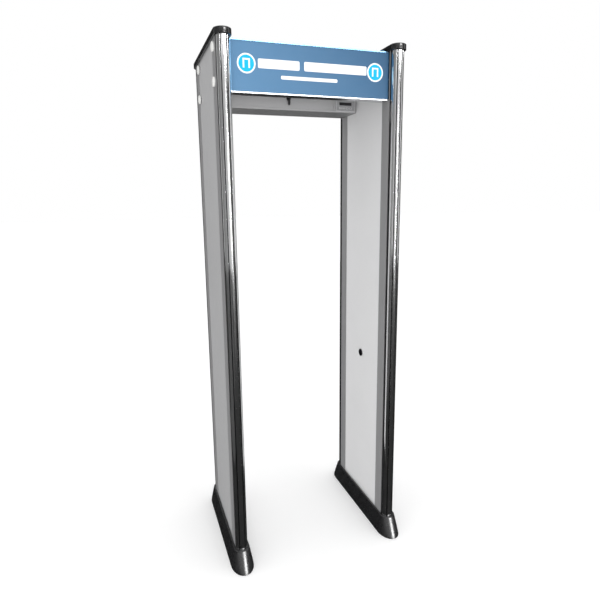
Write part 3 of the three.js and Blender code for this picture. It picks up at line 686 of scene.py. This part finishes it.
# ---------------------------------------------------------------- main unit
def main_unit():
    fine("beam_top_cover", 0.8 * MM)
    fine("unit_housing", 0.7 * MM)
    fine("unit_front_frame", 0.5 * MM)
    fine("service_door", 0.5 * MM)
    fine("latch_cam", 0.4 * MM)
    low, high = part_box("door_hinge_pin")
    middle = ((low.x + high.x) / 2, (low.y + high.y) / 2, (low.z + high.z) / 2)
    half, radius = (high.x - low.x) / 2, (high.z - low.z) / 2
    pin = bmesh.new()
    revolve(pin, [(0, -half), (radius * 0.7, -half), (radius, 0.4 * MM - half), (radius, half - 0.4 * MM),
                  (radius * 0.7, half), (0, half)], middle, (1, 0, 0), 32)
    piece("door_hinge_pin_fine", pin, "steel", stands_for=["door_hinge_pin"])
    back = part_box("unit_housing")[1].y
    places = [(x, back, z) for x in (-0.315, 0.0, 0.315) for z in (1.995, 2.165)]
    screws("unit_back_screws", places, (0, 1, 0))
    cover_low, cover_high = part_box("beam_top_cover")
    rows = (cover_low.y + 12 * MM, cover_high.y - 12 * MM)
    tops = [(x, y, cover_high.z) for x in (-0.3, 0, 0.3) for y in rows]
    screws("top_cover_screws", tops, (0, 0, 1))


def latch():
    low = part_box("door_latch")[0]
    centre_z = 2.036
    boss_front, face = 78 * MM, 84.7 * MM
    boss = bmesh.new()
    profile = [(0, face + 9.3 * MM), (3.4 * MM, face + 9.3 * MM)]
    profile += [(4 * MM, face + 8.6 * MM), (4 * MM, face)]
    profile += [(9.6 * MM, face), (10 * MM, face - 0.4 * MM)]
    profile += [(r, 2 * boss_front - h) for r, h in fillet(10 * MM, 2 * MM, boss_front)]
    profile += [(6 * MM, boss_front), (0, boss_front)]
    revolve(boss, profile, (0, 0, centre_z), (0, 1, 0))
    piece("door_latch_boss", boss, "latch_black", "latch", ["door_latch"])
    lever = bmesh.new()
    outline = []
    for z, half in ((low.z, 2.8), (low.z + 1.2 * MM, 3.9), (low.z + 6 * MM, 4.3), (centre_z, 4.2),
                    (centre_z + 5 * MM, 3.6), (centre_z + 6 * MM, 2.4)):
        outline.append((half * MM, z))
    outline += [(-x, z) for x, z in reversed(outline)]
    slab(lever, outline, 1, low.y, boss_front - 0.1 * MM)
    piece("door_latch_lever", lever, "latch_black", "latch", bevel=0.8 * MM)


main_unit()
latch()


# ---------------------------------------------------------------- control unit
def control_unit():
    fine("control_bezel", 1.2 * MM)
    fine("control_faceplate", 0.5 * MM)
    fine("display_window", 0.3 * MM)
    fine("alarm_window", 0.3 * MM)
    fine("control_board", 0.2 * MM)
    low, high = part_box("control_faceplate")
    columns = (low.x + 6 * MM, high.x - 6 * MM)
    levels = (low.z + 5 * MM, high.z - 6 * MM)
    places = [(x, low.y, z) for x in columns for z in levels]
    screws("faceplate_screws", places, (0, -1, 0), 2 * MM)
    lower_bar = [(-3, -1.6), (3, -1.6), (3, -0.9), (-3, -0.9)]
    upper_bar = [(-3, 0.9), (3, 0.9), (3, 1.6), (-3, 1.6)]
    marks = {
        "menu_key": [lower_bar, upper_bar],
        "down_key": [[(0, -2.2), (2.6, 1.6), (-2.6, 1.6)]],
        "up_key": [[(0, 2.2), (-2.6, -1.6), (2.6, -1.6)]],
        "enter_key": [circle(0, 0, 1.9, 24)],
    }
    for key, shapes in marks.items():
        fine(key, 0.9 * MM)
        low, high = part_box(key)
        x, z = (low.x + high.x) / 2, (low.z + high.z) / 2
        symbol = bmesh.new()
        for shape in shapes:
            outline = [(x + a * MM, z + b * MM) for a, b in shape]
            slab(symbol, outline, 1, low.y - 0.12 * MM, low.y - 0.01 * MM)
        piece(f"{key}_mark", symbol, "key_grey", key, look=CHIP_BLACK)


control_unit()


# ---------------------------------------------------------------- electrics
MAIN_BOARD_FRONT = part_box("main_board")[1].y - 9.6 * MM


def chips(name, columns, rows, size, look):
    """Small parts in a grid on the main board's front: columns and rows are (start, step, count)."""
    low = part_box("main_board")[0]
    bm = bmesh.new()
    width, height, depth = size
    for i in range(columns[2]):
        for j in range(rows[2]):
            x = low.x + columns[0] + i * columns[1] + (j % 2) * width * 0.6
            z = low.z + rows[0] + j * rows[1]
            outline = [(x, z), (x + width, z), (x + width, z + height), (x, z + height)]
            slab(bm, outline, 1, MAIN_BOARD_FRONT - depth, MAIN_BOARD_FRONT - 0.02 * MM)
    return piece(name, bm, "board_green", look=look, bevel=0.15 * MM)


def electrics():
    fine("main_board", 0.3 * MM)
    chips("main_board_resistors", (12 * MM, 9 * MM, 16), (62 * MM, 5 * MM, 2),
          (3.2 * MM, 1.6 * MM, 0.7 * MM), CHIP_BLACK)
    chips("main_board_pads", (14 * MM, 14 * MM, 5), (36 * MM, 9 * MM, 3),
          (4 * MM, 2 * MM, 0.9 * MM), SOLDER)
    fine("power_supply", 0.6 * MM)
    low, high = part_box("power_supply")
    vents = bmesh.new()
    for i in range(9):
        x = low.x + 14 * MM + i * 11 * MM
        slab(vents, rounded_bar(x, x + 4 * MM, low.z + 40 * MM, high.z - 16 * MM, 1.9 * MM), 1,
             low.y - 0.5 * MM, low.y - 0.02 * MM)
    piece("power_supply_ribs", vents, "steel_case")
    low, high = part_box("siren")
    centre = ((low.x + high.x) / 2, high.y, (low.z + high.z) / 2)
    horn = bmesh.new()
    profile = [(0, 0), (12 * MM, 0), (12 * MM, 11 * MM), (18 * MM, 11 * MM), (19 * MM, 12 * MM)]
    profile += fillet(19 * MM, 2 * MM, 34 * MM)
    profile += [(14 * MM, 34 * MM), (12 * MM, 31 * MM)]
    profile += [(5 * MM, 29 * MM), (4 * MM, 32 * MM), (0, 32.5 * MM)]
    revolve(horn, profile, centre, (0, -1, 0))
    piece("siren_fine", horn, "latch_black", stands_for=["siren"])
    fine("power_inlet", 0.6 * MM)
    fine("switch_frame", 0.6 * MM)
    fine("power_rocker", 0.8 * MM)
    low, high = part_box("power_inlet")
    z = (low.z + high.z) / 2
    screws("inlet_screws", [(low.x + 5 * MM, high.y, z), (high.x - 5 * MM, high.y, z)], (0, 1, 0), 2.2 * MM)


electrics()


# ---------------------------------------------------------------- stage
def stage_object(name, outline, axis, level, look):
    mesh = bpy.data.meshes.new(name)
    points = []
    for point in outline:
        place = list(point)
        place.insert(axis, level)
        points.append(place)
    mesh.from_pydata(points, [], [range(len(points))])
    mesh.materials.append(look.material)
    made = bpy.data.objects.new(name, mesh)
    bpy.context.scene.collection.objects.link(made)
    return made


def area_light(name, place, target, size, power):
    data = bpy.data.lights.new(name, "AREA")
    data.shape = "RECTANGLE"
    data.size, data.size_y = size
    data.energy = power
    made = bpy.data.objects.new(name, data)
    made.location = place
    made.rotation_euler = (Vector(target) - Vector(place)).to_track_quat("-Z", "Y").to_euler()
    bpy.context.scene.collection.objects.link(made)
    made.visible_camera = False
    return made


def square(reach):
    return [(-reach, -reach), (reach, -reach), (reach, reach), (-reach, reach)]


def glossy_only(made):
    """Keeps a stage object for reflections alone."""
    made.visible_camera = False
    made.visible_diffuse = False
    made.visible_shadow = False


def studio():
    """A white sweep, with dark sheets that only show in the polished parts, to give them stripes."""
    world = bpy.data.worlds.new("studio")
    bpy.context.scene.world = world
    world.use_nodes = True
    world.node_tree.nodes["Background"].inputs["Color"].default_value = (1, 1, 1, 1)
    world.node_tree.nodes["Background"].inputs["Strength"].default_value = 1.0
    white = Look("floor_white", (0.97, 0.97, 0.97), 0.8).mottle(3, 0.01)
    white.set("Emission Color", (1, 1, 1, 1))
    white.set("Emission Strength", 0.1)
    floor = stage_object("floor", square(40), 2, 0, white)
    floor.visible_glossy = False
    dark = Look("studio_dark", (0.009, 0.009, 0.009), 0.9).mottle(3, 0.1)
    glossy_only(stage_object("dark_floor", square(10.5), 2, -0.004, dark))
    dim = Look("studio_dim", (0.06, 0.06, 0.06), 0.9).mottle(3, 0.2)
    beside = [(-10.5, -10.5), (-1.3, -10.5), (-1.3, 0.9), (-10.5, 0.9)]
    glossy_only(stage_object("dim_floor", beside, 2, -0.003, dim))
    deep_grey = Look("studio_deep_grey", (0.3, 0.3, 0.3), 0.9).mottle(2.2, 0.75, stretch=(1, 1, 0.02))
    grey = Look("studio_grey", (0.75, 0.75, 0.75), 0.9).mottle(2.2, 0.75, stretch=(1, 1, 0.02))
    flags = {
        "front_grey": (1, -3.2, (-3.2, 0.84), (0.9, 2.9), grey),
        "front_flag": (1, -3.1, (0.84, 3.2), (0.9, 2.9), dark),
        "right_front_flag": (0, 3.2, (-3.1, -1.8), (0, 4.5), dark),
        "right_rear_flag": (0, 3.2, (-0.3, 3.0), (0, 4.5), dark),
        "left_grey": (0, -3.2, (-3.2, 1.5), (0.9, 4.5), deep_grey),
        "left_flag": (0, -2.6, (1.5, 3.5), (0, 4.5), dark),
        "rear_left_flag": (1, 3.5, (-2.6, -0.4), (0, 4.5), dark),
        "rear_right_flag": (1, 3.5, (0.4, 3.2), (0, 4.5), dark),
    }
    for name, (axis, level, (start, end), (bottom, top), look) in flags.items():
        outline = [(start, bottom), (end, bottom), (end, top), (start, top)]
        glossy_only(stage_object(name, outline, axis, level, look))
    area_light("key", (-0.6, -4.2, 1.6), (0.1, 0, 1.3), (2.4, 2.4), 60).visible_glossy = False
    for name, height, tall, power in (("shine_low", 1.8, 3.0, 1100), ("shine_high", 5.0, 1.4, 420)):
        shine = area_light(name, (3.3, -9, height), (3.3, 0, height), (5, tall), power)
        shine.visible_diffuse = False


def photo_camera():
    """The camera where it stood: in front, to the left, a little above mid-height, slightly rolled."""
    data = bpy.data.cameras.new("camera")
    data.sensor_width = 36
    data.lens = 30.71
    camera = bpy.data.objects.new("camera", data)
    yaw, pitch, roll = (math.radians(a) for a in (18.74, 11.26, 0.67))
    forward = Vector((math.sin(yaw) * math.cos(pitch), math.cos(yaw) * math.cos(pitch), -math.sin(pitch)))
    right = Vector((math.cos(yaw), -math.sin(yaw), 0))
    down = forward.cross(right)
    image_x = right * math.cos(roll) + down * math.sin(roll)
    image_down = down * math.cos(roll) - right * math.sin(roll)
    turn = Matrix((image_x, -image_down, -forward)).transposed()
    camera.matrix_world = Matrix.Translation((-0.747, -2.246, 1.594)) @ turn.to_4x4()
    bpy.context.scene.collection.objects.link(camera)
    bpy.context.scene.camera = camera
    bpy.context.scene.view_settings.view_transform = "Standard"


studio()
photo_camera()
